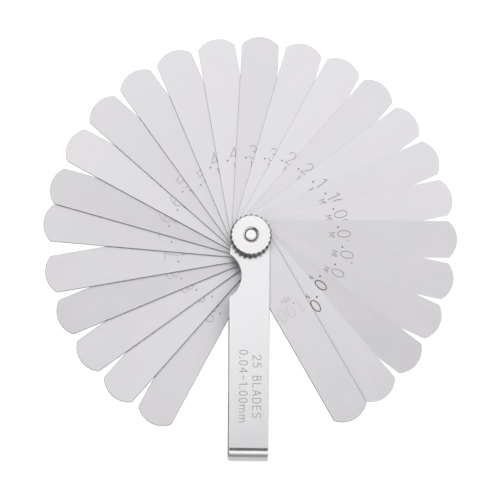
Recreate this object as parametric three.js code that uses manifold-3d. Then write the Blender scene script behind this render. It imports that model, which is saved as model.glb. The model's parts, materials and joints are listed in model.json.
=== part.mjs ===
// A feeler gauge: twenty-five steel blades fanned out on one stud, in a holder folded from a
// single strip, with a knurled nut that clamps the stack. Millimetres, +Z up.
// The gauge lies on its back leaf. Z = 0 is its underside, the Z axis is the stud's axis, and
// the holder points along -Y.
import * as THREE from "three";
import { mergeVertices } from "three/addons/utils/BufferGeometryUtils.js";
import Module from "manifold-3d";

const wasm = await Module();
wasm.setup();

// Blades: a standard 1/2 inch leaf, 77 mm long over its round heel.
const BLADE_WIDTH = 12.7;
const BLADE_REACH = 70.5; // from the stud's axis to the middle of the tip
const TIP_RADIUS = 8.4; // flatter than half a circle, so the tip keeps two soft corners
const BLADE_HOLE_RADIUS = 2.6;
const BLADE_GAP = 0.012; // oil film between one blade and the next

// Thicknesses in hundredths of a millimetre, from the back leaf up: coarse steps, then fine
// ones, and the thickest blade last, so that it covers the thinnest.
const COARSE_SERIES = { from: 95, to: 10, step: 5 };
const FINE_SERIES = { from: 9, to: 4, step: 1 };
const TOP_BLADE = 100;

// The fan, in degrees clockwise from the holder, looking down on the nut. The stiff blades are
// spread a little wider than the thin ones.
const FAN_START = 27.7;
const STIFF_STEP = 12.9;
const THIN_STEP = 12.35;
const LAST_STIFF_BLADE = 30;
const FAN_END = 329.8; // the top blade
const STRAY_BLADE = 70; // pushed a little past its even place
const STRAY_ANGLE = 2;

// Holder: one strip, bent twice at the tail into a back leaf, a short web and a front leaf.
const SHEET = 1;
const HOLDER_WIDTH = 13.3;
const BEND_RADIUS = 4.3; // outside of each bend
const TIP_CLEARANCE = 0.4; // from a folded blade's tip to the start of the bends
const NOTCH_RADIUS = 8.4; // finger notch in the left edge of both leaves
const NOTCH_DEPTH = 3.65;
const NOTCH_FROM_PIVOT = 13.2;

// Stud: its head is pressed flush into the back leaf, a plain shank carries the blades, and a
// thinner threaded end passes through the front leaf to the nut's face.
const SHANK_RADIUS = 2.5;
const SHANK_SHORT_OF_LEAF = 0.25; // so that the nut clamps the stack and not the shoulder
const STUD_HEAD_RADIUS = 3.5;
const THREAD_RADIUS = 2;
const STUD_END_RADIUS = 1.7;
const STUD_END_CHAMFER = 0.3;
const STUD_CLEARANCE = 0.06;

// Nut: a straight knurl with chamfered ends.
const NUT_RADIUS = 7;
const NUT_HEIGHT = 5;
const NUT_BORE_RADIUS = 2.06;
const NUT_SINK_RADIUS = 2.6; // countersink at the mouth of the bore
const NUT_CHAMFER = 0.5;
const NUT_BLANK_OVERSIZE = 0.1; // the blank before its knurl is cut
const NUT_GAP = 0.05; // the nut's seat on the front leaf
const KNURL_TEETH = 24;
const KNURL_DEPTH = 0.5;
const POINTS_PER_TOOTH = 4;

const CUT_MARGIN = 1; // how far a cutting shape reaches past what it cuts
const MERGE_DISTANCE = 1e-4; // points closer than this are one
const ARC_STEPS = 8; // for half of a round arc
const LATHE_STEPS = 32;
const NUT_LATHE_STEPS = 2 * KNURL_TEETH;

// A falling series of whole numbers.
function series({ from, to, step }) {
  const count = (from - to) / step + 1;
  return Array.from({ length: count }, (_, i) => from - i * step);
}

const blades = [...series(COARSE_SERIES), ...series(FINE_SERIES), TOP_BLADE];
const lastStiff = blades.indexOf(LAST_STIFF_BLADE);
const thicknessOf = (hundredths) => hundredths / 100;

// Heights of the stack, worked out from the thicknesses.
const stackHeight = blades.reduce((sum, hundredths) => sum + thicknessOf(hundredths), 0);
const frontLeafZ = SHEET + stackHeight + BLADE_GAP * (blades.length + 1);
const holderTop = frontLeafZ + SHEET;
const nutZ = holderTop + NUT_GAP;
const nutTop = nutZ + NUT_HEIGHT;
const shoulderZ = frontLeafZ - SHANK_SHORT_OF_LEAF;
const bendStart = BLADE_REACH + TIP_CLEARANCE;
const tail = bendStart + BEND_RADIUS;

const steel = (color, roughness) =>
  new THREE.MeshStandardMaterial({ color, roughness, metalness: 1 });

const bladeSteel = steel(0xd6d7d9, 0.34);
const holderSteel = steel(0xdcdde0, 0.3);
const nutSteel = steel(0xe6e3e4, 0.22);
const studSteel = steel(0xbdbdc0, 0.28);

// A closed surface as a solid that can be cut and joined.
function toSolid(geometry) {
  const bare = geometry.clone();
  bare.deleteAttribute("normal");
  bare.deleteAttribute("uv");
  const merged = mergeVertices(bare, MERGE_DISTANCE);
  return new wasm.Manifold(
    new wasm.Mesh({
      numProp: 3,
      vertProperties: merged.attributes.position.array,
      triVerts: new Uint32Array(merged.index.array),
    }),
  );
}

// A cut solid as a surface again.
function toGeometry(solid) {
  const mesh = solid.getMesh();
  const geometry = new THREE.BufferGeometry();
  geometry.setAttribute("position", new THREE.BufferAttribute(mesh.vertProperties, mesh.numProp));
  geometry.setIndex(new THREE.BufferAttribute(mesh.triVerts, 1));
  geometry.computeVertexNormals();
  return geometry;
}

// A flat outline given a thickness, from z = low to z = high.
function plate(shape, low, high) {
  const options = { depth: high - low, bevelEnabled: false, curveSegments: ARC_STEPS };
  return new THREE.ExtrudeGeometry(shape, options).translate(0, 0, low);
}

// A profile of [radius, z] pairs turned about the Z axis.
function turned(profile, steps) {
  const points = profile.map(([radius, z]) => new THREE.Vector2(radius, z));
  return new THREE.LatheGeometry(points, steps).rotateX(Math.PI / 2);
}

// The blade's outline, pointing along -Y: round heel about the stud, straight sides and a
// shallow round tip.
function bladeOutline() {
  const half = BLADE_WIDTH / 2;
  const tipCentre = -(BLADE_REACH - TIP_RADIUS);
  const corner = Math.asin(half / TIP_RADIUS);
  const shape = new THREE.Shape();
  shape.absarc(0, 0, half, 0, Math.PI, false);
  shape.absarc(0, tipCentre, TIP_RADIUS, -Math.PI / 2 - corner, -Math.PI / 2 + corner, false);
  shape.closePath();
  const hole = new THREE.Path();
  hole.absarc(0, 0, BLADE_HOLE_RADIUS, 0, 2 * Math.PI, true);
  shape.holes.push(hole);
  return shape;
}

// The strip seen from its edge, as a [y, z] outline: two leaves and the bends between them.
function stripProfile() {
  const inside = BEND_RADIUS - SHEET;
  const head = HOLDER_WIDTH;
  const lowBend = BEND_RADIUS;
  const highBend = holderTop - BEND_RADIUS;
  const shape = new THREE.Shape();
  shape.moveTo(head, 0);
  shape.lineTo(head, SHEET);
  shape.absarc(-bendStart, lowBend, inside, -Math.PI / 2, -Math.PI, true);
  shape.absarc(-bendStart, highBend, inside, Math.PI, Math.PI / 2, true);
  shape.lineTo(head, frontLeafZ);
  shape.lineTo(head, holderTop);
  shape.absarc(-bendStart, highBend, BEND_RADIUS, Math.PI / 2, Math.PI, false);
  shape.absarc(-bendStart, lowBend, BEND_RADIUS, Math.PI, 1.5 * Math.PI, false);
  shape.closePath();
  return shape;
}

// The strip seen from above: round head about the stud, and the finger notch on the left.
function holderOutline() {
  const half = HOLDER_WIDTH / 2;
  const beyond = tail + CUT_MARGIN;
  const notchX = -half - (NOTCH_RADIUS - NOTCH_DEPTH);
  const notchAngle = Math.acos((NOTCH_RADIUS - NOTCH_DEPTH) / NOTCH_RADIUS);
  const shape = new THREE.Shape();
  shape.absarc(0, 0, half, 0, Math.PI, false);
  shape.absarc(notchX, -NOTCH_FROM_PIVOT, NOTCH_RADIUS, notchAngle, -notchAngle, true);
  shape.lineTo(-half, -beyond);
  shape.lineTo(half, -beyond);
  shape.closePath();
  return shape;
}

// Both leaves and the web in one piece, with the countersunk hole for the stud's head and a
// smaller one for its threaded end.
function holderGeometry() {
  const strip = plate(stripProfile(), -HOLDER_WIDTH, HOLDER_WIDTH);
  const alongY = new THREE.Vector3(0, 1, 0);
  const alongZ = new THREE.Vector3(0, 0, 1);
  const alongX = new THREE.Vector3(1, 0, 0);
  strip.applyMatrix4(new THREE.Matrix4().makeBasis(alongY, alongZ, alongX));
  const outline = plate(holderOutline(), -CUT_MARGIN, holderTop + CUT_MARGIN);
  const bore = SHANK_RADIUS + STUD_CLEARANCE;
  const sinkSlope = (STUD_HEAD_RADIUS - SHANK_RADIUS) / SHEET;
  const countersink = STUD_HEAD_RADIUS + STUD_CLEARANCE + sinkSlope * CUT_MARGIN;
  const threadHole = THREAD_RADIUS + STUD_CLEARANCE;
  const hole = turned(
    [
      [0, -CUT_MARGIN],
      [countersink, -CUT_MARGIN],
      [bore, SHEET],
      [bore, shoulderZ],
      [threadHole, shoulderZ],
      [threadHole, holderTop + CUT_MARGIN],
      [0, holderTop + CUT_MARGIN],
    ],
    LATHE_STEPS,
  );
  return toGeometry(toSolid(strip).intersect(toSolid(outline)).subtract(toSolid(hole)));
}

// The stud: a countersunk head, a plain shank through the stack and a chamfered thinner end.
function studGeometry() {
  return turned(
    [
      [0, 0],
      [STUD_HEAD_RADIUS, 0],
      [SHANK_RADIUS, SHEET],
      [SHANK_RADIUS, shoulderZ],
      [THREAD_RADIUS, shoulderZ],
      [THREAD_RADIUS, nutTop - STUD_END_CHAMFER],
      [STUD_END_RADIUS, nutTop],
      [0, nutTop],
    ],
    LATHE_STEPS,
  );
}

// The knurl seen from above: one rounded wave for each tooth.
function knurlOutline() {
  const count = KNURL_TEETH * POINTS_PER_TOOTH;
  const points = [];
  for (let i = 0; i < count; i += 1) {
    const angle = (2 * Math.PI * i) / count;
    const wave = (1 - Math.cos(KNURL_TEETH * angle)) / 2;
    const radius = NUT_RADIUS - KNURL_DEPTH * wave;
    points.push(new THREE.Vector2(radius * Math.cos(angle), radius * Math.sin(angle)));
  }
  return new THREE.Shape(points);
}

// The knurled nut: the knurl cut to a turned blank with a bore and two chamfered rims.
function nutGeometry() {
  const rim = NUT_RADIUS + NUT_BLANK_OVERSIZE;
  const face = NUT_RADIUS - NUT_CHAMFER;
  const sinkDepth = NUT_SINK_RADIUS - NUT_BORE_RADIUS;
  const blank = turned(
    [
      [NUT_BORE_RADIUS, nutZ],
      [face, nutZ],
      [rim, nutZ + rim - face],
      [rim, nutTop - rim + face],
      [face, nutTop],
      [NUT_SINK_RADIUS, nutTop],
      [NUT_BORE_RADIUS, nutTop - sinkDepth],
      [NUT_BORE_RADIUS, nutZ],
    ],
    NUT_LATHE_STEPS,
  );
  const knurl = plate(knurlOutline(), nutZ - CUT_MARGIN, nutTop + CUT_MARGIN);
  return toGeometry(toSolid(blank).intersect(toSolid(knurl)));
}

function addMesh(group, name, geometry, material) {
  const mesh = new THREE.Mesh(geometry, material);
  mesh.name = name;
  group.add(mesh);
  return mesh;
}

// A blade's name gives its thickness in hundredths of a millimetre, such as blade_095.
function bladeName(hundredths) {
  return "blade_" + String(hundredths).padStart(3, "0");
}

// Where the hand that opened the fan left a blade.
function restAngle(index) {
  if (blades[index] === TOP_BLADE) {
    return FAN_END;
  }
  const thinOnes = Math.max(0, index - lastStiff);
  const stray = blades[index] === STRAY_BLADE ? STRAY_ANGLE : 0;
  return FAN_START + STIFF_STEP * (index - thinOnes) + THIN_STEP * thinOnes + stray;
}

// The blades lie one on the other, each turned to its own rest angle.
function addBlades(group) {
  const outline = bladeOutline();
  let z = SHEET + BLADE_GAP;
  blades.forEach((hundredths, index) => {
    const thickness = thicknessOf(hundredths);
    const geometry = plate(outline, z, z + thickness);
    const blade = addMesh(group, bladeName(hundredths), geometry, bladeSteel);
    blade.rotation.z = THREE.MathUtils.degToRad(-restAngle(index));
    z += thickness + BLADE_GAP;
  });
}

const group = new THREE.Group();
addMesh(group, "holder", holderGeometry(), holderSteel);
addMesh(group, "pivot_stud", studGeometry(), studSteel);
addMesh(group, "knurled_nut", nutGeometry(), nutSteel);
addBlades(group);

export default group;
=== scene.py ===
# The looks of a feeler gauge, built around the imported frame: ground steel blades with etched
# marks, a folded holder with two engraved lines, a knurled nut and the stud's end.
# Plans are drawn in millimetres and every piece's mesh is written in metres, in the frame's
# axes: the stud is the Z axis, the holder points along -Y and the blades lie flat.
import json
import math
import random

import bpy
from mathutils import Matrix, Vector
from mathutils.geometry import delaunay_2d_cdt


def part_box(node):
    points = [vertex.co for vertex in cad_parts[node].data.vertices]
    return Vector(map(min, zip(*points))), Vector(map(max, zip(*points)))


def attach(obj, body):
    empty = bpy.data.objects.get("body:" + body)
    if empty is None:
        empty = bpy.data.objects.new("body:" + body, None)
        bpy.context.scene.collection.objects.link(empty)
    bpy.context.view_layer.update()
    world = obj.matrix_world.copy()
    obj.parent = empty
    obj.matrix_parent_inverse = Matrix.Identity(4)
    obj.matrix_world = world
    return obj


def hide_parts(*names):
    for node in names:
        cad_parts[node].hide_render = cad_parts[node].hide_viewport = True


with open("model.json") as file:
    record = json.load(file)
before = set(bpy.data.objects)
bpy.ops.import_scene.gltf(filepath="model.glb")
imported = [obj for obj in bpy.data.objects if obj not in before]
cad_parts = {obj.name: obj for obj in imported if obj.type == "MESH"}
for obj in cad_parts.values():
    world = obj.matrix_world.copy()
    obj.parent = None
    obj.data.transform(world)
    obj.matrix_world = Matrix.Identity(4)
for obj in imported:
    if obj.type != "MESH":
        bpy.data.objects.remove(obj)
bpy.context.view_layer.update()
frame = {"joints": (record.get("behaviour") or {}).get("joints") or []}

MM = 0.001

# ---------------------------------------------------------------------------------------------
# Sizes, in millimetres. Heights come from the frame. The plan sizes repeat the CAD's, apart from
# the nut's, which has deeper grooves, a wider countersink and a plain collar.
# ---------------------------------------------------------------------------------------------
BLADE_HALF = 6.35
BLADE_REACH = 70.5
TIP_RADIUS = 8.4
TIP_FILLET = 0.7
BLADE_HOLE = 2.6
BLADE_HOLE_STEPS = 40
BLADE_EDGE = 0.18  # radius of the rounded edges
BLADE_EDGE_SHARE = 0.22  # of the thickness: the radius on a thin blade

HOLDER_HALF = 6.65
SHEET = 1.0
BEND_RADIUS = 4.3
BEND_START = -70.9
NOTCH_RADIUS = 8.4
NOTCH_DEPTH = 3.65
NOTCH_Y = -13.2
HOLDER_EDGE = 0.24
SHANK_RADIUS = 2.5
HEAD_RADIUS = 3.5
THREAD_RADIUS = 2.0
THREAD_PITCH = 0.7
THREAD_DEPTH = 0.25
SHANK_SHORT_OF_LEAF = 0.25
STUD_GAP = 0.06
STUD_HOLE_STEPS = 48
STUD_STEPS = 96

NUT_RADIUS = 7.0
NUT_FACE_RADIUS = 6.5
NUT_BORE = 2.06
NUT_SINK = 2.70
TEETH = 24
POINTS_PER_TOOTH = 12
TOOTH_DEPTH = 0.72
GROOVE_SHARE = 0.50  # of the knurl's cosine wave: below it is groove, past the flank is crest
FLANK_SHARE = 0.20
LEAST_TOOTH = 0.1  # share of the tooth that the grooves leave standing
CREST_ROUND = ((0.0, 0.54), (0.03, 0.42), (0.09, 0.34), (0.44, 0.03))  # in and down, each tooth
COLLAR_RADIUS = 6.92
COLLAR_HEIGHT = 1.2
COLLAR_CHAMFER = 0.2, 0.15  # in and up

NUMBER_HEIGHT = 4.4
UNIT_HEIGHT = 2.0
LETTER_GAP = 0.22
HOLDER_TEXT_HEIGHT = 2.7
HOLDER_LETTER_GAP = 0.36
HOLDER_TEXT_STROKE = 0.13  # half of a line's width
HOLDER_MARK_DEPTH = 0.05
BLADE_MARK_DEPTH = 0.02
BLADE_MARK_SHARE = 0.12  # of the thickness: the depth on a thin blade


def corner_mm(node, which):
    """One corner of a CAD node's box, in millimetres: 0 is the lowest, 1 the highest."""
    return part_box(node)[which] / MM


# ---------------------------------------------------------------------------------------------
# Plane outlines
# ---------------------------------------------------------------------------------------------
def arc(cx, cy, rx, ry, start, end, steps):
    """Points along an ellipse's arc, both ends included, angles in degrees."""
    points = []
    for i in range(steps + 1):
        angle = math.radians(start + (end - start) * i / steps)
        points.append((cx + rx * math.cos(angle), cy + ry * math.sin(angle)))
    return points


def hole_ring(radius, steps):
    """A closed clockwise ring of points about the stud's axis, as a hole's edge runs."""
    return arc(0, 0, radius, radius, 0, -360, steps)[:-1]


def blade_outline(inset):
    """The blade's edge, counter-clockwise, moved in by inset. The tip points along -Y."""
    half = BLADE_HALF - inset
    tip_y = -(BLADE_REACH - TIP_RADIUS)
    tip = TIP_RADIUS - inset
    fillet = TIP_FILLET - inset
    side = BLADE_HALF - TIP_FILLET
    fillet_y = tip_y - math.sqrt((TIP_RADIUS - TIP_FILLET) ** 2 - side ** 2)
    lean = math.degrees(math.atan2(side, tip_y - fillet_y))
    points = arc(0, 0, half, half, 0, 180, 40)
    points += arc(-side, fillet_y, fillet, fillet, 180, 270 - lean, 6)
    points += arc(0, tip_y, tip, tip, 270 - lean, 270 + lean, 36)[1:-1]
    points += arc(side, fillet_y, fillet, fillet, 270 + lean, 360, 6)
    return points


# ---------------------------------------------------------------------------------------------
# Single-stroke letters, one unit high
# ---------------------------------------------------------------------------------------------
def make_letters():
    """{letter: (width, strokes)}. A stroke is a smooth run of points; corners start a new one."""
    bowl = arc(0.28, 0.27, 0.28, 0.27, 0, 180, 10), arc(0.28, 0.27, 0.28, 0.27, 180, 360, 10)
    eye = arc(0.28, 0.77, 0.22, 0.23, 0, 180, 9), arc(0.28, 0.77, 0.22, 0.23, 180, 360, 9)
    tail_of_6 = arc(0.62, 0.27, 0.62, 0.73, 180, 106, 10)
    return {
        "0": (0.52, [arc(0.26, 0.5, 0.26, 0.5, 90, 270, 14),
                     arc(0.26, 0.5, 0.26, 0.5, -90, 90, 14)]),
        "1": (0.34, [[(0.06, 0.8), (0.28, 1)], [(0.28, 1), (0.28, 0)]]),
        "2": (0.56, [arc(0.27, 0.73, 0.26, 0.27, 172, -32, 14) + [(0.0, 0.0)],
                     [(0.0, 0.0), (0.56, 0.0)]]),
        "3": (0.54, [arc(0.26, 0.77, 0.23, 0.23, 155, -90, 12),
                     arc(0.26, 0.27, 0.28, 0.27, 90, -155, 14)]),
        "4": (0.6, [[(0.44, 0), (0.44, 1)], [(0.44, 1), (0, 0.3)], [(0, 0.3), (0.6, 0.3)]]),
        "5": (0.54, [[(0.5, 1), (0.08, 1)], [(0.08, 1), (0.05, 0.56)],
                     [(0.05, 0.56)] + arc(0.26, 0.31, 0.28, 0.31, 118, -150, 14)]),
        "6": (0.56, [*bowl, tail_of_6]),
        "7": (0.54, [[(0, 1), (0.54, 1)], [(0.54, 1), (0.2, 0)]]),
        "8": (0.56, [*bowl, *eye]),
        "9": (0.56, [[(0.56 - x, 1 - y) for x, y in stroke] for stroke in (*bowl, tail_of_6)]),
        ".": (0.08, [[(0.0, 0.03), (0.08, 0.03)], [(0.04, -0.01), (0.04, 0.07)]]),
        "-": (0.44, [[(0.02, 0.5), (0.42, 0.5)]]),
        "M": (0.6, [[(0, 0), (0, 1)], [(0, 1), (0.3, 0.3)], [(0.3, 0.3), (0.6, 1)],
                    [(0.6, 1), (0.6, 0)]]),
        "m": (0.84, [[(0, 0), (0, 0.66)],
                     arc(0.21, 0.44, 0.21, 0.2, 180, 0, 8) + [(0.42, 0)],
                     arc(0.63, 0.44, 0.21, 0.2, 180, 0, 8) + [(0.84, 0)]]),
        "A": (0.64, [[(0, 0), (0.32, 1)], [(0.32, 1), (0.64, 0)], [(0.11, 0.34), (0.53, 0.34)]]),
        "B": (0.56, [[(0, 0), (0, 1)],
                     [(0, 1)] + arc(0.28, 0.77, 0.23, 0.23, 90, -90, 9) + [(0, 0.54)],
                     [(0, 0.54)] + arc(0.29, 0.27, 0.27, 0.27, 90, -90, 9) + [(0, 0)]]),
        "D": (0.58, [[(0, 0), (0, 1)],
                     [(0, 1)] + arc(0.2, 0.5, 0.38, 0.5, 90, -90, 14) + [(0, 0)]]),
        "E": (0.5, [[(0, 0), (0, 1)], [(0, 1), (0.5, 1)], [(0, 0), (0.5, 0)],
                    [(0, 0.53), (0.42, 0.53)]]),
        "L": (0.48, [[(0, 1), (0, 0)], [(0, 0), (0.48, 0)]]),
        "S": (0.54, [arc(0.27, 0.76, 0.24, 0.24, 25, 270, 12),
                     arc(0.27, 0.26, 0.27, 0.26, 90, -155, 12)]),
        " ": (0.4, []),
    }


LETTERS = make_letters()


def text_width(text, gap):
    """The width of a line of text, in its own heights."""
    return sum(LETTERS[c][0] for c in text) + gap * (len(text) - 1)


def text_strokes(text, height, gap, centre, turn):
    """A line of text as strokes in millimetres, centred on a point and turned by degrees."""
    turned = Matrix.Rotation(math.radians(turn), 2)
    x = -text_width(text, gap) / 2
    strokes = []
    for letter in text:
        width, runs = LETTERS[letter]
        for run in runs:
            placed = [turned @ Vector(((x + px) * height, (py - 0.5) * height)) for px, py in run]
            strokes.append([(p.x + centre[0], p.y + centre[1]) for p in placed])
        x += width + gap
    return strokes


def stroke_polygon(points, half):
    """A stroke given a width, with round ends, as one counter-clockwise polygon."""
    path = [Vector(p) for p in points]
    left, right = [], []
    for i, p in enumerate(path):
        along = (path[min(i + 1, len(path) - 1)] - path[max(i - 1, 0)]).normalized()
        side = Vector((-along.y, along.x)) * half
        left.append(p + side)
        right.append(p - side)
    def cap(centre, start):
        angle = math.degrees(math.atan2(start.y - centre.y, start.x - centre.x))
        return arc(centre.x, centre.y, half, half, angle, angle + 180, 4)[1:-1]
    outline = [tuple(p) for p in right]
    outline += cap(path[-1], right[-1])
    outline += [tuple(p) for p in reversed(left)]
    outline += cap(path[0], left[0])
    return outline


# ---------------------------------------------------------------------------------------------
# Flat sheet work: a plan with rounded edges, holes and marks cut into its top
# ---------------------------------------------------------------------------------------------
class Plate:
    """Collects vertices, faces and their normals, materials and plan coordinates."""

    def __init__(self, place, turn_normal):
        self.place, self.turn_normal = place, turn_normal
        self.points, self.plan, self.heights, self.etches = [], [], [], []
        self.faces, self.normals, self.slots = [], [], []

    def vertex(self, x, y, z, etch=0.0):
        self.points.append(self.place(x, y, z))
        self.plan.append((x, y))
        self.heights.append(z)
        self.etches.append(etch)
        return len(self.points) - 1

    def face(self, corners, normals, slot):
        self.faces.append(corners)
        self.slots.append(slot)
        for corner, normal in zip(corners, normals):
            self.normals.append(self.turn_normal(self.plan[corner], normal))

    def mesh(self, name, materials, values):
        mesh = bpy.data.meshes.new(name)
        mesh.from_pydata(self.points, [], self.faces)
        for material in materials:
            mesh.materials.append(material)
        uv = mesh.uv_layers.new(name="plan")
        for loop, data in zip(mesh.loops, uv.data):
            x, y = self.plan[loop.vertex_index]
            data.uv = (x * PLAN_SCALE, y * PLAN_SCALE)
        for polygon, slot in zip(mesh.polygons, self.slots):
            polygon.material_index = slot
            polygon.use_smooth = True
        mesh.normals_split_custom_set(self.normals)
        low, high = min(self.heights), max(self.heights)
        columns = {key: [value] * len(self.points) for key, value in values.items()}
        columns["rise"] = [(z - low) / (high - low) for z in self.heights]
        columns["etch"] = self.etches
        for key, column in columns.items():
            attribute = mesh.attributes.new(key, "FLOAT", "POINT")
            attribute.data.foreach_set("value", column)
        piece = bpy.data.objects.new(name, mesh)
        bpy.context.scene.collection.objects.link(piece)
        return piece


PLAN_SCALE = 0.1  # one unit of the plan's UV map is 10 mm
BODY, MARK, EDGE = 0, 1, 2
EDGE_STEPS = 3
MERGE_DISTANCE = 1e-5


def triangulate(loops, marks, lines):
    """Triangles of a region with holes. Returns points, where each loop's points went, and the
    triangles, each with the number of the mark that it lies in, or 0."""
    coords, faces = [], []
    for loop in [*loops, *marks]:
        start = len(coords)
        coords += [Vector(p) for p in loop]
        ring = list(range(start, start + len(loop)))
        area = sum(a[0] * b[1] - b[0] * a[1] for a, b in zip(loop, loop[1:] + loop[:1]))
        faces.append(ring if area > 0 else ring[::-1])
    out = delaunay_2d_cdt(coords, lines, faces, 1, MERGE_DISTANCE)
    verts, _, tris, orig_verts, _, orig_faces = out
    where = {}
    for i, origins in enumerate(orig_verts):
        for origin in origins:
            where[origin] = i
    kept = []
    for tri, origins in zip(tris, orig_faces):
        inside = 0 in origins
        in_hole = any(1 <= o < len(loops) for o in origins)
        mark = max(0, max(origins, default=0) - len(loops) + 1)
        if inside and not in_hole:
            kept.append((tri, mark))
    return verts, where, kept


def edge_layers(low, high, edge):
    """Heights, insets and tilts from the bottom face up to the top face over rounded edges."""
    layers = []
    for k in range(EDGE_STEPS + 1):
        tilt = -90 + 90 * k / EDGE_STEPS
        inset = edge * (1 - math.cos(math.radians(tilt)))
        layers.append((low + edge * (1 + math.sin(math.radians(tilt))), inset, tilt))
    layers += [(low + high - z, inset, -tilt) for z, inset, tilt in reversed(layers)]
    return layers


def ring_normals(loop):
    """Outward normals of a counter-clockwise ring, inward ones of a clockwise ring."""
    normals = []
    for i in range(len(loop)):
        before, after = Vector(loop[i - 1]), Vector(loop[(i + 1) % len(loop)])
        along = (after - before).normalized()
        normals.append((along.y, -along.x))
    return normals


def cut_plate(plate, outline, holes, low, high, edge, marks, depth, lines=None):
    """Adds a whole plate. outline and holes are functions of (inset, height share) giving rings.
    marks are pairs of a polygon and how dark it is etched, and depth is how deep they are cut.
    lines(outline ring) gives pairs of its points that an edge of the mesh has to join."""
    layers = edge_layers(low, high, edge)
    rings = []
    for make in [outline, *holes]:
        rings.append([make(inset, (z - low) / (high - low)) for z, inset, _ in layers])
    caps = []
    for layer, cap_marks in ((0, ()), (-1, marks)):
        loops = [ring[layer] for ring in rings]
        cross = lines(loops[0]) if lines else []
        polygons = [polygon for polygon, _ in cap_marks]
        caps.append((layers[layer][0], triangulate(loops, polygons, cross)))
    tops = []
    for up, (z, (points, where, triangles)) in zip((False, True), caps):
        ids = [plate.vertex(p.x, p.y, z) for p in points]
        tops.append((ids, where))
        normal = (0, 0, 1 if up else -1)
        marked = {}
        for triangle, mark in triangles:
            corners = [ids[v] for v in triangle]
            if not up:
                plate.face(corners[::-1], [normal] * 3, BODY)
            elif not mark:
                plate.face(corners, [normal] * 3, BODY)
            else:
                etch = marks[mark - 1][1]
                for v in triangle:
                    if v not in marked:
                        marked[v] = plate.vertex(points[v].x, points[v].y, z - depth, etch)
                plate.face([marked[v] for v in triangle], [normal] * 3, MARK)
        add_mark_walls(plate, points, ids, triangles, marked)
    start = 0
    for ring in rings:
        count = len(ring[0])
        stack = []
        for k, (z, _, _) in enumerate(layers):
            if k in (0, len(layers) - 1):
                ids, where = tops[0 if k == 0 else 1]
                stack.append([ids[where[start + i]] for i in range(count)])
            else:
                stack.append([plate.vertex(x, y, z) for x, y in ring[k]])
        add_walls(plate, ring, stack, layers)
        start += count


def add_mark_walls(plate, points, ids, triangles, marked):
    """The small walls round the floor of each mark."""
    plain = set()
    for triangle, in_mark in triangles:
        if not in_mark:
            for a, b in zip(triangle, triangle[1:] + triangle[:1]):
                plain.add((a, b))
    for triangle, in_mark in triangles:
        if not in_mark:
            continue
        for a, b in zip(triangle, triangle[1:] + triangle[:1]):
            if (b, a) in plain:
                along = (points[b] - points[a]).normalized()
                normal = (-along.y, along.x, 0)
                corners = [ids[b], marked[b], marked[a], ids[a]]
                plate.face(corners, [normal] * 4, MARK)


def add_walls(plate, ring, stack, layers):
    """The edge of a plate: one band of faces between each two layers."""
    count = len(ring[0])
    outward = ring_normals(ring[len(layers) // 2])
    def tilted(i, k):
        tilt = math.radians(layers[k][2])
        x, y = outward[i]
        return (x * math.cos(tilt), y * math.cos(tilt), math.sin(tilt))
    for k in range(len(layers) - 1):
        for i in range(count):
            j = (i + 1) % count
            corners = [stack[k][i], stack[k][j], stack[k + 1][j], stack[k + 1][i]]
            normals = [tilted(i, k), tilted(j, k), tilted(j, k + 1), tilted(i, k + 1)]
            plate.face(corners, normals, EDGE)


# ---------------------------------------------------------------------------------------------
# Turned pieces
# ---------------------------------------------------------------------------------------------
ON_AXIS = 1e-6
SHARP_DEGREES = 28


def lathe(name, profile, steps, materials, radius_at=None):
    """A profile of (radius, height, slot) in millimetres, turned about the Z axis. The slot is
    the material of the band that ends there. radius_at(radius, angle, index) may shape it."""
    points, faces, slots = [], [], []
    rings = []
    for index, (radius, z, _) in enumerate(profile):
        if radius < ON_AXIS:
            rings.append([len(points)])
            points.append((0, 0, z * MM))
            continue
        ring = []
        for i in range(steps):
            angle = 2 * math.pi * i / steps
            r = radius_at(radius, angle, index) if radius_at else radius
            ring.append(len(points))
            points.append((r * math.cos(angle) * MM, r * math.sin(angle) * MM, z * MM))
        rings.append(ring)
    pairs = list(zip(rings, rings[1:], profile[1:]))
    if profile[0][0] > ON_AXIS:
        pairs.append((rings[-1], rings[0], profile[0]))
    for low, high, (_, _, slot) in pairs:
        for i in range(steps):
            j = (i + 1) % steps
            if len(low) == 1:
                face = [low[0], high[j], high[i]]
            elif len(high) == 1:
                face = [low[i], low[j], high[0]]
            else:
                face = [low[i], low[j], high[j], high[i]]
            faces.append(face)
            slots.append(slot)
    mesh = bpy.data.meshes.new(name)
    mesh.from_pydata(points, [], faces)
    for material in materials:
        mesh.materials.append(material)
    for polygon, slot in zip(mesh.polygons, slots):
        polygon.material_index = slot
        polygon.use_smooth = True
    mesh.set_sharp_from_angle(angle=math.radians(SHARP_DEGREES))
    piece = bpy.data.objects.new(name, mesh)
    bpy.context.scene.collection.objects.link(piece)
    return piece


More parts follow.
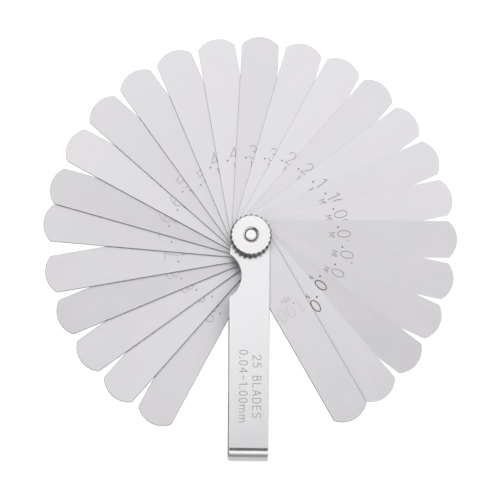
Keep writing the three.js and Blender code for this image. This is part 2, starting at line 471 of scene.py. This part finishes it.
# ---------------------------------------------------------------------------------------------
# Materials
# ---------------------------------------------------------------------------------------------
class Nodes:
    """A short way to write a node tree: add nodes, set their inputs and link them."""

    def __init__(self, name):
        self.material = bpy.data.materials.new(name)
        self.material.use_nodes = True
        self.tree = self.material.node_tree
        self.tree.nodes.clear()
        self.output = self.add("ShaderNodeOutputMaterial")
        self.shader = self.add("ShaderNodeBsdfPrincipled")
        self.tree.links.new(self.shader.outputs[0], self.output.inputs["Surface"])

    def add(self, kind, **settings):
        node = self.tree.nodes.new(kind)
        for key, value in settings.items():
            setattr(node, key, value)
        return node

    def feed(self, node, key, value):
        if isinstance(value, bpy.types.NodeSocket):
            self.tree.links.new(value, node.inputs[key])
        elif value is not None:
            node.inputs[key].default_value = value

    def math(self, operation, a, b=None, c=None):
        node = self.add("ShaderNodeMath", operation=operation)
        for key, value in enumerate((a, b, c)):
            self.feed(node, key, value)
        return node.outputs[0]

    def range(self, value, low, high, to_low=0.0, to_high=1.0, smooth=False):
        node = self.add("ShaderNodeMapRange")
        node.interpolation_type = "SMOOTHSTEP" if smooth else "LINEAR"
        for key, v in enumerate((value, low, high, to_low, to_high)):
            self.feed(node, key, v)
        return node.outputs[0]

    def mix(self, factor, a, b):
        node = self.add("ShaderNodeMix", data_type="RGBA")
        self.feed(node, 0, factor)
        self.feed(node, 6, a)
        self.feed(node, 7, b)
        return node.outputs[2]

    def grey(self, value, tint):
        node = self.add("ShaderNodeCombineColor")
        for key, share in enumerate(tint):
            self.feed(node, key, self.math("MULTIPLY", value, share))
        return node.outputs[0]

    def noise(self, vector, scales, detail, roughness, offset=(0, 0, 0)):
        """Noise from 0 to 1 with its own scale along each axis."""
        mapping = self.add("ShaderNodeMapping")
        self.feed(mapping, "Vector", vector)
        self.feed(mapping, "Scale", scales)
        self.feed(mapping, "Location", offset)
        node = self.add("ShaderNodeTexNoise")
        self.feed(node, "Vector", mapping.outputs[0])
        self.feed(node, "Scale", 1.0)
        self.feed(node, "Detail", detail)
        self.feed(node, "Roughness", roughness)
        return node.outputs[0]

    def spread(self, noise, reach=1.0):
        """Noise drawn out to run from -reach to reach."""
        return self.range(noise, 0.3, 0.7, -reach, reach)

    def bump(self, height, strength, distance, normal=None):
        node = self.add("ShaderNodeBump")
        self.feed(node, "Normal", normal)
        self.feed(node, "Height", height)
        self.feed(node, "Strength", strength)
        self.feed(node, "Distance", distance)
        return node.outputs[0]

    def attribute(self, name):
        return self.add("ShaderNodeAttribute", attribute_name=name).outputs["Fac"]

    def plan(self):
        return self.add("ShaderNodeUVMap", uv_map="plan").outputs[0]

    def object_point(self):
        return self.add("ShaderNodeTexCoord").outputs["Object"]


COOL_STEEL = (0.988, 1.002, 1.0)
WARM_STEEL = (1.006, 0.996, 1.0)
CLOUD_SHARE = 0.028  # how much the smears change the tone, as a share of it
RIM_SHARE = 0.05
RIM_WIDTH = 0.5
ROUGH_SPREAD = 0.02
GRAIN_PULL = 0.55  # how far the grain draws reflections out across it
FOLDED_SHADE_TONE = 0.78  # painted shade: the strip is darker from its first bend on, where the web and back leaf get less light
FOLDED_SHADE_FADE = 5
WAVE_HEIGHT = 0.00012  # metres, as the bump node takes it
GRAIN_HEIGHT = 0.00002


def plan_steel(name, base, rough, tint, half, streak):
    """Ground steel with its grain along the plan's Y, faint smears and burnished edges. streak
    is how much the grain changes the tone."""
    n = Nodes(name)
    plan = n.plan()
    tone = n.attribute("tone")
    offset = n.add("ShaderNodeCombineXYZ")
    n.feed(offset, 2, n.attribute("shift"))
    moved = n.add("ShaderNodeVectorMath", operation="ADD")
    n.feed(moved, 0, plan)
    n.feed(moved, 1, offset.outputs[0])
    at = moved.outputs[0]
    fine = n.noise(at, (32, 1.3, 1), 3.0, 0.6)
    broad = n.noise(at, (8, 0.3, 1), 2.0, 0.5)
    smear = n.noise(at, (1.7, 0.8, 1), 3.0, 0.55)
    wave = n.noise(at, (0.6, 0.28, 1), 1.0, 0.4)
    grain = n.math("ADD", n.spread(fine), n.spread(broad, 0.7))
    cloud = n.spread(smear)
    hue = n.noise(at, (0.9, 0.5, 1), 2.0, 0.5, offset=(5, 9, 0))
    split = n.add("ShaderNodeSeparateXYZ")
    n.feed(split, 0, plan)
    across = n.math("ABSOLUTE", split.outputs[0])
    rim = n.range(across, (half - RIM_WIDTH) * PLAN_SCALE, half * PLAN_SCALE, 0, 1, True)
    value = n.math("MULTIPLY_ADD", grain, streak * base, n.math("MULTIPLY", tone, base))
    value = n.math("MULTIPLY_ADD", cloud, CLOUD_SHARE * base, value)
    value = n.math("MULTIPLY_ADD", rim, RIM_SHARE * base, value)
    # painted shade: from the first bend on the steel is darkened, for the web and back leaf that get
    # less light
    fade_end, fade_start = ((BEND_START - d) * PLAN_SCALE for d in (FOLDED_SHADE_FADE, 0))
    folded = n.range(split.outputs[1], fade_end, fade_start, FOLDED_SHADE_TONE, 1.0)
    value = n.math("MULTIPLY", value, folded)
    cool, warm = ([a * b for a, b in zip(tint, shift)] for shift in (COOL_STEEL, WARM_STEEL))
    tinted = n.mix(n.range(hue, 0.35, 0.65), n.grey(value, cool), n.grey(value, warm))
    n.feed(n.shader, "Base Color", tinted)
    roughness = n.math("MULTIPLY_ADD", grain, ROUGH_SPREAD, rough)
    roughness = n.math("MULTIPLY_ADD", cloud, ROUGH_SPREAD, roughness)
    n.feed(n.shader, "Roughness", roughness)
    n.feed(n.shader, "Metallic", 1.0)
    n.feed(n.shader, "Anisotropic", GRAIN_PULL)
    tangent = n.add("ShaderNodeTangent", direction_type="UV_MAP", uv_map="plan")
    n.feed(n.shader, "Tangent", tangent.outputs[0])
    bend = n.math("MULTIPLY", wave, n.attribute("wave"))
    waved = n.bump(bend, 1.0, WAVE_HEIGHT)
    n.feed(n.shader, "Normal", n.bump(grain, 0.06, GRAIN_HEIGHT, waved))
    return n.material


# painted shade: the torn lower part of an edge, painted darker still where it meets the blade below
TORN_SHADE_TONE = 0.28
TORN_BLUR = 0.1


def edge_steel(name, base, torn):
    """The sheared edge of a strip: burnished near the top face, torn below it, with fine upright
    scores. Below the burnish it is painted dark, a painted shade where the edge meets what lies
    under it. torn is the height share where the burnish starts."""
    n = Nodes(name)
    at = n.object_point()
    scores = n.noise(at, (2600, 2600, 160), 3.0, 0.6)
    patches = n.noise(at, (220, 220, 220), 2.0, 0.5)
    value = n.math("MULTIPLY_ADD", n.spread(scores), 0.25 * base, base)
    value = n.math("MULTIPLY_ADD", n.spread(patches), 0.15 * base, value)
    ragged = n.math("MULTIPLY_ADD", n.spread(scores), 0.06, n.attribute("rise"))
    below, above = torn - TORN_BLUR, torn + TORN_BLUR
    # painted shade: below the torn height the edge is darkened where it meets what lies under it
    burnish = n.range(ragged, below, above, TORN_SHADE_TONE, 1.0, True)
    n.feed(n.shader, "Base Color", n.grey(n.math("MULTIPLY", value, burnish), (1.0, 0.99, 0.98)))
    n.feed(n.shader, "Roughness", n.range(ragged, below, above, 0.4, 0.2))
    n.feed(n.shader, "Metallic", 1.0)
    n.feed(n.shader, "Normal", n.bump(scores, 0.12, GRAIN_HEIGHT))
    return n.material


FAINT_OXIDE = (0.80, 0.79, 0.80, 1)
DARK_OXIDE = (0.075, 0.062, 0.055, 1)
WORN_OXIDE = (0.5, 0.49, 0.49, 1)


def etched(name):
    """The floor of an etched mark: matt oxide, from faint grey to dark brown by its etch value."""
    n = Nodes(name)
    at = n.object_point()
    mottle = n.noise(at, (2400, 2400, 2400), 3.0, 0.6)
    colour = n.mix(n.attribute("etch"), FAINT_OXIDE, DARK_OXIDE)
    lighter = n.mix(n.range(mottle, 0.55, 0.8), colour, WORN_OXIDE)
    n.feed(n.shader, "Base Color", lighter)
    n.feed(n.shader, "Metallic", 0.35)
    n.feed(n.shader, "Roughness", n.range(mottle, 0.3, 0.7, 0.5, 0.72))
    n.feed(n.shader, "Normal", n.bump(mottle, 0.3, GRAIN_HEIGHT))
    return n.material


RING_SCALE = 5200
# painted highlight: how much lighter the knurl's groove floors are painted
GROOVE_HIGHLIGHT_TONE = 2.4
GROOVE_DULLNESS = 0.26


def turned_steel(name, base, tint, rough, groove=None):
    """Turned metal: fine rings about the axis. groove = (low, high) is a fade between two radii:
    below it the metal is duller and painted lighter, a painted highlight on a knurl's groove floors."""
    n = Nodes(name)
    at = n.object_point()
    split = n.add("ShaderNodeSeparateXYZ")
    n.feed(split, 0, at)
    x, y, z = split.outputs
    squared = n.math("ADD", n.math("MULTIPLY", x, x), n.math("MULTIPLY", y, y))
    radius = n.math("SQRT", squared)
    rz = n.add("ShaderNodeCombineXYZ")
    n.feed(rz, 0, radius)
    n.feed(rz, 1, z)
    ring = n.noise(rz.outputs[0], (RING_SCALE, 1200, 1), 3.0, 0.6)
    cloud = n.noise(at, (260, 260, 260), 3.0, 0.5)
    value = n.math("MULTIPLY_ADD", n.spread(ring), 0.05 * base, base)
    value = n.math("MULTIPLY_ADD", n.spread(cloud), 0.03 * base, value)
    roughness = n.range(ring, 0.3, 0.7, rough - 0.04, rough + 0.05)
    if groove:
        floor, crest = (r * MM for r in groove)
        # painted highlight: the groove floors are made lighter than the crests
        value = n.math("MULTIPLY", value, n.range(radius, floor, crest, GROOVE_HIGHLIGHT_TONE, 1.0, True))
        duller = n.range(radius, floor, crest, GROOVE_DULLNESS, 0.0, True)
        roughness = n.math("ADD", roughness, duller)
    n.feed(n.shader, "Base Color", n.grey(value, tint))
    n.feed(n.shader, "Roughness", roughness)
    n.feed(n.shader, "Metallic", 1.0)
    n.feed(n.shader, "Normal", n.bump(ring, 0.12, GRAIN_HEIGHT))
    return n.material


blade_steel = plan_steel("blade_steel", 0.615, 0.41, (1.01, 0.985, 1.02), BLADE_HALF, 0.016)
holder_steel = plan_steel("holder_steel", 0.55, 0.19, (1.0, 0.99, 1.015), HOLDER_HALF, 0.012)
# the blades' edges are the blade steel painted darker, a painted shade for the dark lines between
# stacked blades
blade_edge_shaded = edge_steel("blade_edge_shaded", 0.34, 0.75)
holder_edge_shaded = edge_steel("holder_edge_shaded", 0.60, 0.65)
mark_oxide = etched("mark_oxide")
nut_face = turned_steel("nut_face", 0.61, (1.0, 0.985, 0.98), 0.22)
# the knurl is the nut's steel painted far darker: painted shade on its crests and walls
nut_knurl_shaded = turned_steel("nut_knurl_shaded", 0.22, (1.0, 0.985, 0.985), 0.24, groove=(6.4, 6.7))
stud_end = turned_steel("stud_end", 0.66, (1.0, 0.99, 0.99), 0.24)
stud_thread = turned_steel("stud_thread", 0.32, (1.0, 0.98, 0.97), 0.38)


# ---------------------------------------------------------------------------------------------
# Blades
# ---------------------------------------------------------------------------------------------
NUMBER_STROKE = 0.15  # half of an etched line's width
UNIT_STROKE = 0.085
BOLD = 1.25  # the thinnest blades carry broader lines
BOLD_BELOW = 6  # hundredths
DOT_STROKE = 0.18
DOT_DARKNESS = 0.24  # the point and the MM are darker than the digits by this much
UNIT_DARKNESS = 0.14
UNIT_GAP = 1.0  # between the letters MM and the number
MARK_PLACES = (  # thicker than this many hundredths: across the blade, out from the stud
    (50, -0.4, 28.6),
    (25, -0.5, 30.0),
    (10, -0.2, 31.0),
    (0, 0.6, 31.9),
)
# How much further out some blades' numbers were struck than their place.
MARK_SLIPS = {90: -3.9, 85: -2.0, 75: -1.3, 65: 1.3, 55: 1.5, 50: -3.0, 7: 1.3, 5: -3.2}
ETCHES = ((0.97, 0.32), (0.48, 0.41), (0.18, 0.5), (0.055, 0.64), (0, 0.92))  # thicker than: etch
TONE_SPREAD = 0.05  # no two blades are ground alike
SHIFT_STEP = 3.7  # how far each blade's grain is moved on from the last one's
LIMP = 0.2  # a blade thinner than this lies in faint waves
LIMP_WAVE = 1.0
STIFF_WAVE = 0.35
draw = random.Random(25)


def mark_place(hundredths):
    """Where the middle of the blade's number is."""
    for least, across, out in MARK_PLACES:
        if hundredths > least:
            return across, out + MARK_SLIPS.get(hundredths, 0)


def blade_strokes(hundredths):
    """The blade's mark, read with the tip up: its thickness, and MM below it. Each stroke comes
    with half of its width and how much darker it is than the digits."""
    number = "1.00" if hundredths == 100 else ".%02d" % hundredths
    across, out = mark_place(hundredths)
    strokes = text_strokes(number, NUMBER_HEIGHT, LETTER_GAP, (across, -out), 180)
    below = out - NUMBER_HEIGHT / 2 - UNIT_GAP - UNIT_HEIGHT / 2
    units = text_strokes("MM", UNIT_HEIGHT, LETTER_GAP, (across, -below), 180)
    stroke = NUMBER_STROKE * (BOLD if hundredths < BOLD_BELOW else 1)
    dot = number.index(".")
    first_dot = sum(len(LETTERS[letter][1]) for letter in number[:dot])
    sized = [(s, stroke, 0.0) for s in strokes] + [(s, UNIT_STROKE, UNIT_DARKNESS) for s in units]
    for k in range(first_dot, first_dot + len(LETTERS["."][1])):
        sized[k] = (strokes[k], DOT_STROKE, DOT_DARKNESS)
    return sized


def mark_darkness(thickness):
    """Thin blades take the etch darkest; on the thickest it is faint."""
    for least, darkness in ETCHES:
        if thickness > least:
            return darkness


def make_blade(index, joint):
    node = joint["child"]
    hundredths = int(node.split("_")[1])
    low, high = corner_mm(node, 0).z, corner_mm(node, 1).z
    thickness = high - low
    edge = min(BLADE_EDGE, thickness * BLADE_EDGE_SHARE)
    darkness = mark_darkness(thickness)
    marks = []
    for stroke, half, darker in blade_strokes(hundredths):
        marks.append((stroke_polygon(stroke, half), min(1, darkness + darker)))
    turn = Matrix.Rotation(math.radians(-joint["range_deg"][1]), 3, "Z")
    plate = Plate(
        lambda x, y, z: turn @ Vector((x, y, z)) * MM,
        lambda plan, normal: turn @ Vector(normal),
    )
    cut_plate(
        plate,
        lambda inset, share: blade_outline(inset),
        [lambda inset, share: hole_ring(BLADE_HOLE + inset, BLADE_HOLE_STEPS)],
        low, high, edge, marks, min(BLADE_MARK_DEPTH, thickness * BLADE_MARK_SHARE),
    )
    values = {
        "tone": draw.uniform(1 - TONE_SPREAD, 1 + TONE_SPREAD),
        "shift": SHIFT_STEP * index,
        "wave": LIMP_WAVE if thickness < LIMP else STIFF_WAVE,
    }
    piece = plate.mesh("fine_" + node, [blade_steel, mark_oxide, blade_edge_shaded], values)
    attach(piece, node)
    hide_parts(node)


swings = [j for j in frame["joints"] if j["name"].endswith("_swing")]
swings.sort(key=lambda j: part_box(j["child"])[0].z)
for index, joint in enumerate(swings):
    make_blade(index, joint)


# ---------------------------------------------------------------------------------------------
# Holder: drawn flat as one strip, then folded. Y runs from the front leaf's head to the bend;
# past BEND_START it is the length along the bends, the web and the back leaf.
# ---------------------------------------------------------------------------------------------
INSIDE = BEND_RADIUS - SHEET
BEND_LENGTH = math.pi / 2 * (INSIDE + SHEET / 2)
BEND_STEPS = 18
SAME_HEIGHT = 1e-6
holder_top = corner_mm("holder", 1).z
WEB_LENGTH = holder_top - 2 * BEND_RADIUS
BACK_START = BEND_START - 2 * BEND_LENGTH - WEB_LENGTH
BACK_PIVOT = BACK_START + BEND_START
HOLDER_TEXTS = (("25 BLADES", (2.55, -50.5)), ("0.04-1.00mm", (-1.95, -50.4)))  # and their middles
HOLDER_ETCH = 0.6
HOLDER_SHIFT = 101.0
HOLDER_WAVE = 0.3


def fold(y):
    """Where a point of the flat strip lies: (folded y, z of the inner face, turn in degrees)."""
    first = BEND_START - BEND_LENGTH
    second = first - WEB_LENGTH
    if y >= BEND_START:
        return y, holder_top - SHEET, 0.0
    if y > first:
        turn = 90 * (BEND_START - y) / BEND_LENGTH
        angle = math.radians(90 + turn)
        z = holder_top - BEND_RADIUS + INSIDE * math.sin(angle)
        return BEND_START + INSIDE * math.cos(angle), z, turn
    if y >= second:
        return BEND_START - INSIDE, holder_top - BEND_RADIUS - (first - y), 90.0
    if y > BACK_START:
        turn = 90 + 90 * (second - y) / BEND_LENGTH
        angle = math.radians(90 + turn)
        return BEND_START + INSIDE * math.cos(angle), BEND_RADIUS + INSIDE * math.sin(angle), turn
    return BEND_START + (BACK_START - y), SHEET, 180.0


def fold_point(x, y, z):
    """A point of the flat strip, z above its inner face, where the folded strip has it."""
    along, height, turn = fold(y)
    angle = math.radians(90 + turn)
    return Vector((x, along + z * math.cos(angle), height + z * math.sin(angle))) * MM


def fold_normal(plan, normal):
    """A flat strip's normal, turned as the strip is folded there."""
    turn = math.radians(fold(plan[1])[2])
    return Matrix.Rotation(turn, 3, "X") @ Vector(normal)


def bend_lines():
    """The flat strip's Y values where the sheet starts, steps through and ends each bend."""
    first = BEND_START - BEND_LENGTH
    rows = [BEND_START - BEND_LENGTH * i / BEND_STEPS for i in range(BEND_STEPS + 1)]
    rows += [first - WEB_LENGTH - BEND_LENGTH * i / BEND_STEPS for i in range(BEND_STEPS + 1)]
    return rows


def notch(centre_y, inset):
    """The finger notch in the left edge, from its upper to its lower end."""
    radius = NOTCH_RADIUS + inset
    centre_x = -HOLDER_HALF - (NOTCH_RADIUS - NOTCH_DEPTH)
    half = math.degrees(math.acos((NOTCH_RADIUS - NOTCH_DEPTH - inset) / radius))
    return arc(centre_x, centre_y, radius, radius, half, -half, 28)


def holder_outline(inset):
    """The flat strip's edge, counter-clockwise: front head, left side, back head, right side."""
    half = HOLDER_HALF - inset
    rows = bend_lines()
    points = arc(0, 0, half, half, 0, 180, 40)
    points += notch(NOTCH_Y, inset)
    points += [(-half, y) for y in rows]
    points += notch(BACK_PIVOT - NOTCH_Y, inset)
    points += arc(0, BACK_PIVOT, half, half, 180, 360, 40)
    points += [(half, y) for y in reversed(rows)]
    return points


def holder_lines(loop):
    """Pairs of outline points that face each other across a bend."""
    pairs = []
    side = HOLDER_HALF - 2 * HOLDER_EDGE
    for y in bend_lines():
        ends = [i for i, p in enumerate(loop) if abs(p[1] - y) < SAME_HEIGHT and abs(p[0]) > side]
        pairs.append(tuple(ends))
    return pairs


def front_hole(inset, share):
    """The plain hole for the thread."""
    return hole_ring(THREAD_RADIUS + STUD_GAP + inset, STUD_HOLE_STEPS)


def back_hole(inset, share):
    """The countersunk hole: share is 0 on the inner face and 1 on the outer one."""
    radius = SHANK_RADIUS + STUD_GAP + (HEAD_RADIUS - SHANK_RADIUS) * share + inset
    return [(x, y + BACK_PIVOT) for x, y in hole_ring(radius, STUD_HOLE_STEPS)]


def make_holder():
    marks = []
    for text, place in HOLDER_TEXTS:
        strokes = text_strokes(text, HOLDER_TEXT_HEIGHT, HOLDER_LETTER_GAP, place, -90)
        marks += [(stroke_polygon(s, HOLDER_TEXT_STROKE), HOLDER_ETCH) for s in strokes]
    plate = Plate(fold_point, fold_normal)
    cut_plate(
        plate,
        lambda inset, share: holder_outline(inset),
        [front_hole, back_hole],
        0, SHEET, HOLDER_EDGE, marks, HOLDER_MARK_DEPTH, holder_lines,
    )
    values = {"tone": 1.0, "shift": HOLDER_SHIFT, "wave": HOLDER_WAVE}
    piece = plate.mesh("fine_holder", [holder_steel, mark_oxide, holder_edge_shaded], values)
    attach(piece, "holder")
    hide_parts("holder")


make_holder()


# ---------------------------------------------------------------------------------------------
# Nut and stud
# ---------------------------------------------------------------------------------------------
COLLAR_RINGS = 4  # the first rings of the nut's profile, which carry no teeth
SINK_ROUND = ((0.14, 0), (0.03, 0), (-0.01, 0.02))  # out from the countersink's radius, and down
THREAD_ROOT = THREAD_RADIUS - THREAD_DEPTH
THREAD_FORM = ((0, THREAD_ROOT), (0.4, THREAD_RADIUS), (0.52, THREAD_RADIUS), (0.92, THREAD_ROOT))
THREAD_START = 0.1  # above the shoulder
THREAD_STOP = 0.35  # below the stud's end
HEAD_ROUND = ((0.08, 0), (0.02, 0.03), (0.08, 0.08))  # in from the head's radius, and up
STUD_END = ((1.68, 0.16), (1.62, 0.15), (1.0, 0.13), (0.5, 0.14), (0, 0.16))  # radius, depth


def make_nut():
    """A plain collar, the knurl with its rounded crest, a flat face and a countersunk bore."""
    low, high = corner_mm("knurled_nut", 0).z, corner_mm("knurled_nut", 1).z
    sink = NUT_SINK - NUT_BORE
    root = NUT_RADIUS - TOOTH_DEPTH
    shelf = low + COLLAR_HEIGHT
    collar_in, collar_up = COLLAR_CHAMFER
    def shaped(radius, angle, index):
        """The knurl: straight teeth between wide grooves, above the collar's four rings."""
        if radius <= root or index < COLLAR_RINGS:
            return radius
        tooth = (abs(math.cos(TEETH / 2 * angle)) - GROOVE_SHARE) / FLANK_SHARE
        return root + (radius - root) * max(LEAST_TOOTH, min(1, tooth))
    profile = [
        (NUT_BORE, low, 0),
        (COLLAR_RADIUS - collar_in, low, 1),
        (COLLAR_RADIUS, low + collar_up, 1),
        (COLLAR_RADIUS, shelf, 1),
        (NUT_RADIUS, shelf, 1),
        (NUT_RADIUS, (low + high) / 2, 1),
    ]
    profile += [(NUT_RADIUS - inward, high - down, 1) for inward, down in CREST_ROUND]
    profile += [
        (NUT_FACE_RADIUS, high, 1),
        (NUT_FACE_RADIUS - 0.08, high, 0),
        (root, high, 0),
        (root - 0.1, high, 0),
        (0.6 * NUT_RADIUS, high, 0),
    ]
    profile += [(NUT_SINK + out, high - down, 0) for out, down in SINK_ROUND]
    profile += [(NUT_BORE + 0.02, high - 0.5, 0), (NUT_BORE, high - sink, 1)]
    teeth_steps = TEETH * POINTS_PER_TOOTH
    piece = lathe("fine_knurled_nut", profile, teeth_steps, [nut_face, nut_knurl_shaded], shaped)
    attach(piece, "nut")
    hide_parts("knurled_nut")


def make_stud():
    """The head, the shank, a thread drawn as rings, and an end that is a little hollow."""
    high = corner_mm("pivot_stud", 1).z
    shoulder = holder_top - SHEET - SHANK_SHORT_OF_LEAF
    profile = [(0, 0, 0)]
    profile += [(HEAD_RADIUS - inward, up, 0) for inward, up in HEAD_ROUND]
    profile += [
        (SHANK_RADIUS, SHEET, 0),
        (SHANK_RADIUS, shoulder - 0.1, 0),
        (SHANK_RADIUS - 0.1, shoulder, 0),
        (THREAD_ROOT, shoulder, 1),
    ]
    z = shoulder + THREAD_START
    while z + THREAD_PITCH < high - THREAD_STOP:
        for share, radius in THREAD_FORM:
            profile.append((radius, z + share * THREAD_PITCH, 1))
        z += THREAD_PITCH
    profile.append((THREAD_RADIUS - 0.02, high - 0.5, 1))
    profile.append((STUD_END[0][0] + 0.06, high - 0.2, 1))
    profile += [(radius, high - down, 0) for radius, down in STUD_END]
    piece = lathe("fine_pivot_stud", profile, STUD_STEPS, [stud_end, stud_thread])
    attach(piece, "holder")
    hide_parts("pivot_stud")


make_nut()
make_stud()


# ---------------------------------------------------------------------------------------------
# Camera, floor and light
# ---------------------------------------------------------------------------------------------
CAMERA_DISTANCE = 0.69
CAMERA_OFFSET = (0.00009, -0.00333)
CAMERA_TILT = (-8.5, 2.2, -0.53)  # degrees about X, Y and the line of sight
CAMERA_AIM = Vector((0, 0, 0.006))
CAMERA_SCALE = 2929  # image points per metre at the aim
FRAME_POINTS = 500
SENSOR_MM = 36.0


def camera_turn():
    """From the frame's axes to the camera's."""
    x, y, z = (math.radians(a) for a in CAMERA_TILT)
    turn = Matrix.Rotation(z, 3, "Z") @ Matrix.Rotation(x, 3, "X") @ Matrix.Rotation(y, 3, "Y")
    return turn.transposed()


def make_camera():
    data = bpy.data.cameras.new("camera")
    data.sensor_width = SENSOR_MM
    data.lens = CAMERA_SCALE * CAMERA_DISTANCE / FRAME_POINTS * SENSOR_MM
    data.clip_end = 20
    camera = bpy.data.objects.new("camera", data)
    bpy.context.scene.collection.objects.link(camera)
    turn = camera_turn()
    place = CAMERA_AIM + turn @ Vector((*CAMERA_OFFSET, CAMERA_DISTANCE))
    camera.matrix_world = Matrix.Translation(place) @ turn.to_4x4()
    bpy.context.scene.camera = camera


FLOOR_HALF = 4.0  # metres
FLOOR_DROP = 0.0001  # metres below the holder's back leaf
FLOOR_TONE = 0.32
FLOOR_GLOW = 0.86


def make_floor():
    """A pale table with a little light of its own, so that the gaps in the fan stay light."""
    mesh = bpy.data.meshes.new("floor")
    corners = [(FLOOR_HALF * x, FLOOR_HALF * y, 0) for x, y in ((-1, -1), (1, -1), (1, 1), (-1, 1))]
    mesh.from_pydata(corners, [], [(0, 1, 2, 3)])
    n = Nodes("floor_white")
    n.feed(n.shader, "Base Color", (FLOOR_TONE, FLOOR_TONE, FLOOR_TONE, 1))
    n.feed(n.shader, "Roughness", 0.9)
    n.feed(n.shader, "Specular IOR Level", 0.1)
    n.feed(n.shader, "Emission Color", (1, 1, 1, 1))
    n.feed(n.shader, "Emission Strength", FLOOR_GLOW)
    mesh.materials.append(n.material)
    floor = bpy.data.objects.new("floor", mesh)
    floor.location = (0, 0, -FLOOR_DROP)
    bpy.context.scene.collection.objects.link(floor)


def lean(degrees, azimuth):
    """A direction that leans from straight up; azimuth 0 is +X and 90 is +Y."""
    tilt, turn = math.radians(degrees), math.radians(azimuth)
    return Vector((math.sin(tilt) * math.cos(turn), math.sin(tilt) * math.sin(turn), math.cos(tilt)))


class Sky:
    """The studio as a painted dome: round soft patches of light and of shade."""

    def __init__(self, dim):
        self.world = bpy.data.worlds.new("studio")
        self.world.use_nodes = True
        self.tree = self.world.node_tree
        self.tree.nodes.clear()
        self.way = self.tree.nodes.new("ShaderNodeTexCoord").outputs["Generated"]
        self.total = dim

    def patch(self, centre, inner, outer, inside, outside):
        """inside within inner degrees of the centre, outside past outer degrees."""
        dot = self.tree.nodes.new("ShaderNodeVectorMath")
        dot.operation = "DOT_PRODUCT"
        self.tree.links.new(self.way, dot.inputs[0])
        dot.inputs[1].default_value = centre
        node = self.tree.nodes.new("ShaderNodeMapRange")
        node.interpolation_type = "SMOOTHSTEP"
        self.tree.links.new(dot.outputs["Value"], node.inputs[0])
        limits = (math.cos(math.radians(outer)), math.cos(math.radians(inner)), outside, inside)
        for key, value in enumerate(limits, 1):
            node.inputs[key].default_value = value
        return node.outputs[0]

    def join(self, operation, value):
        node = self.tree.nodes.new("ShaderNodeMath")
        node.operation = operation
        for key, part in enumerate((self.total, value)):
            if isinstance(part, bpy.types.NodeSocket):
                self.tree.links.new(part, node.inputs[key])
            else:
                node.inputs[key].default_value = part
        self.total = node.outputs[0]

    def light(self, centre, inner, outer, strength):
        """Adds strength inside the patch."""
        self.join("ADD", self.patch(centre, inner, outer, strength, 0.0))

    def shade(self, centre, inner, outer, left):
        """Leaves this share of what has been added so far inside the patch."""
        self.join("MULTIPLY", self.patch(centre, inner, outer, left, 1.0))

    def walls(self, inner, outer, strength):
        """A band of light all round, low down: nothing within inner degrees of straight up."""
        self.join("ADD", self.patch((0, 0, 1), inner, outer, 0.0, strength))

    def finish(self):
        output = self.tree.nodes.new("ShaderNodeOutputWorld")
        background = self.tree.nodes.new("ShaderNodeBackground")
        background.inputs["Color"].default_value = (1, 1, 1, 1)
        self.tree.links.new(self.total, background.inputs["Strength"])
        self.tree.links.new(background.outputs[0], output.inputs[0])
        bpy.context.scene.world = self.world


ROOM_GLOW = 0.16


def make_light():
    """A wide soft light overhead, broken by the camera and the person behind it, smaller lights
    round it, pale walls and one dark corner. A shade dims only what was lit before it."""
    sky = Sky(ROOM_GLOW)
    sky.light(lean(6, 20), 32, 60, 0.99)  # the wide light
    sky.light(lean(9, 95), 2, 15, 0.45)  # its bright middle, which the flat tops mirror
    sky.light(lean(40, 84), 10, 24, 0.4)  # a box past the far tips
    sky.light(lean(50, 180), 20, 60, 0.35)  # fill from the left
    sky.shade(lean(18, 270), 7, 13, 0.2)  # the person
    sky.shade(camera_turn() @ Vector((0, 0, 1)), 7.5, 13.5, 0.04)  # the camera
    sky.light(lean(46, 270), 8, 20, 1.15)  # a box in front, which the holder's bend mirrors
    sky.light(lean(66, 60), 18, 46, 0.25)  # fill from the far right
    sky.light(lean(74, 312), 15, 40, 0.5)  # two low lights on the right
    sky.light(lean(84, 0), 15, 35, 0.8)
    sky.walls(52, 72, 0.4)
    sky.shade(lean(78, 228), 15, 45, 0.15)  # the dark corner, which the left blades' edges mirror
    sky.finish()


make_camera()
make_floor()
make_light()
bpy.context.scene.view_settings.view_transform = "Standard"

bpy.context.view_layer.update()
